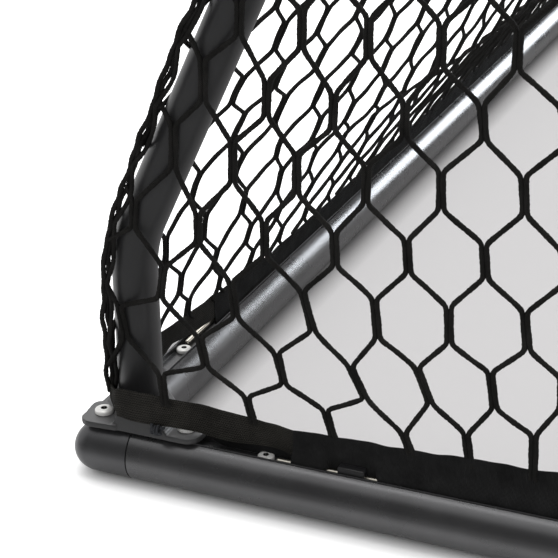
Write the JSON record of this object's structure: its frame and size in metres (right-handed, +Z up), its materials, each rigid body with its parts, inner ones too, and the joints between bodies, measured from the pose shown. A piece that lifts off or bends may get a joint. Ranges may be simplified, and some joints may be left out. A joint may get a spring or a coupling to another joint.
{
  "type": "hockey goal net",
  "caption": "Free-standing street and ice hockey goal: slotted tube frame with corner brackets, bent rear uprights and a black hexagonal net held by rods and clips.",
  "frame": {"origin": "on the floor under the middle of the goal (bottom centre of its bounding box)", "axes": "+X from the rear of the goal to its mouth, +Y along the mouth, from the left post to the right post as seen by the shooter, +Z up"},
  "size_m": [0.871, 1.9408, 1.271],
  "materials": {
    "bar_paint": "satin powder coat on extruded aluminium",
    "elbow_paint": "satin powder coat on cast aluminium",
    "bracket_paint": "smooth painted casting",
    "tube_paint": "satin powder coat",
    "zinc_fasteners": "bright zinc plate",
    "net_rod_steel": "drawn steel",
    "clip_plastic": "moulded",
    "hem_webbing": "woven webbing",
    "net_cord": "braided cord",
    "tie_cord": "wound cord"
  },
  "bodies": {
    "goal_frame": {"back_net": "net_cord", "base_hem": "hem_webbing", "corner_tie_left": "tie_cord", "corner_tie_right": "tie_cord", "crossbar": "bar_paint", "crossbar_net_rod": "net_rod_steel", "front_foot_elbow_left": "elbow_paint", "front_foot_elbow_right": "elbow_paint", "front_post_left": "bar_paint", "front_post_right": "bar_paint", "post_foot_screw_left": "zinc_fasteners", "post_foot_screw_right": "zinc_fasteners", "post_net_rod_left": "net_rod_steel", "post_net_rod_right": "net_rod_steel", "rear_bar_screw_left": "zinc_fasteners", "rear_bar_screw_right": "zinc_fasteners", "rear_base_bar": "bar_paint", "rear_bracket_corner_bolt_left": "zinc_fasteners", "rear_bracket_corner_bolt_right": "zinc_fasteners", "rear_bracket_rear_bolt_left": "zinc_fasteners", "rear_bracket_rear_bolt_right": "zinc_fasteners", "rear_bracket_side_bolt_left": "zinc_fasteners", "rear_bracket_side_bolt_right": "zinc_fasteners", "rear_corner_bracket_left": "bracket_paint", "rear_corner_bracket_right": "bracket_paint", "rear_corner_elbow_left": "elbow_paint", "rear_corner_elbow_right": "elbow_paint", "rear_net_rod": "net_rod_steel", "rear_top_bar": "tube_paint", "rear_upright_left": "tube_paint", "rear_upright_right": "tube_paint", "side_bar_front_screw_left": "zinc_fasteners", "side_bar_front_screw_right": "zinc_fasteners", "side_bar_rear_screw_left": "zinc_fasteners", "side_bar_rear_screw_right": "zinc_fasteners", "side_base_bar_left": "bar_paint", "side_base_bar_right": "bar_paint", "side_net_left": "net_cord", "side_net_right": "net_cord", "side_net_rod_left": "net_rod_steel", "side_net_rod_right": "net_rod_steel", "top_bracket_corner_bolt_left": "zinc_fasteners", "top_bracket_corner_bolt_right": "zinc_fasteners", "top_bracket_crossbar_bolt_left": "zinc_fasteners", "top_bracket_crossbar_bolt_right": "zinc_fasteners", "top_bracket_post_bolt_left": "zinc_fasteners", "top_bracket_post_bolt_right": "zinc_fasteners", "top_corner_bracket_left": "bracket_paint", "top_corner_bracket_right": "bracket_paint", "top_corner_elbow_left": "elbow_paint", "top_corner_elbow_right": "elbow_paint", "top_net": "net_cord"},
    "crossbar_rod_clip_left": {"crossbar_rod_clip_left": "clip_plastic"},
    "crossbar_rod_clip_right": {"crossbar_rod_clip_right": "clip_plastic"},
    "post_rod_clip_left": {"post_rod_clip_left": "clip_plastic"},
    "post_rod_clip_right": {"post_rod_clip_right": "clip_plastic"},
    "rear_rod_clip_left": {"rear_rod_clip_left": "clip_plastic"},
    "rear_rod_clip_right": {"rear_rod_clip_right": "clip_plastic"},
    "side_rod_clip_left": {"side_rod_clip_left": "clip_plastic"},
    "side_rod_clip_right": {"side_rod_clip_right": "clip_plastic"}
  },
  "joints": [
    {"name": "crossbar_rod_clip_left_slide", "type": "slide", "parent": "goal_frame", "child": "crossbar_rod_clip_left", "axis": [0, 1, 0], "range_m": [-0.008, 0.008]},
    {"name": "crossbar_rod_clip_right_slide", "type": "slide", "parent": "goal_frame", "child": "crossbar_rod_clip_right", "axis": [0, 1, 0], "range_m": [-0.008, 0.008]},
    {"name": "post_rod_clip_left_slide", "type": "slide", "parent": "goal_frame", "child": "post_rod_clip_left", "axis": [0, 0, 1], "range_m": [-0.008, 0.008]},
    {"name": "post_rod_clip_right_slide", "type": "slide", "parent": "goal_frame", "child": "post_rod_clip_right", "axis": [0, 0, 1], "range_m": [-0.008, 0.008]},
    {"name": "rear_rod_clip_left_slide", "type": "slide", "parent": "goal_frame", "child": "rear_rod_clip_left", "axis": [0, 1, 0], "range_m": [-0.008, 0.008]},
    {"name": "rear_rod_clip_right_slide", "type": "slide", "parent": "goal_frame", "child": "rear_rod_clip_right", "axis": [0, 1, 0], "range_m": [-0.008, 0.008]},
    {"name": "side_rod_clip_left_slide", "type": "slide", "parent": "goal_frame", "child": "side_rod_clip_left", "axis": [1, 0, 0], "range_m": [-0.008, 0.008]},
    {"name": "side_rod_clip_right_slide", "type": "slide", "parent": "goal_frame", "child": "side_rod_clip_right", "axis": [1, 0, 0], "range_m": [-0.008, 0.008]}
  ]
}
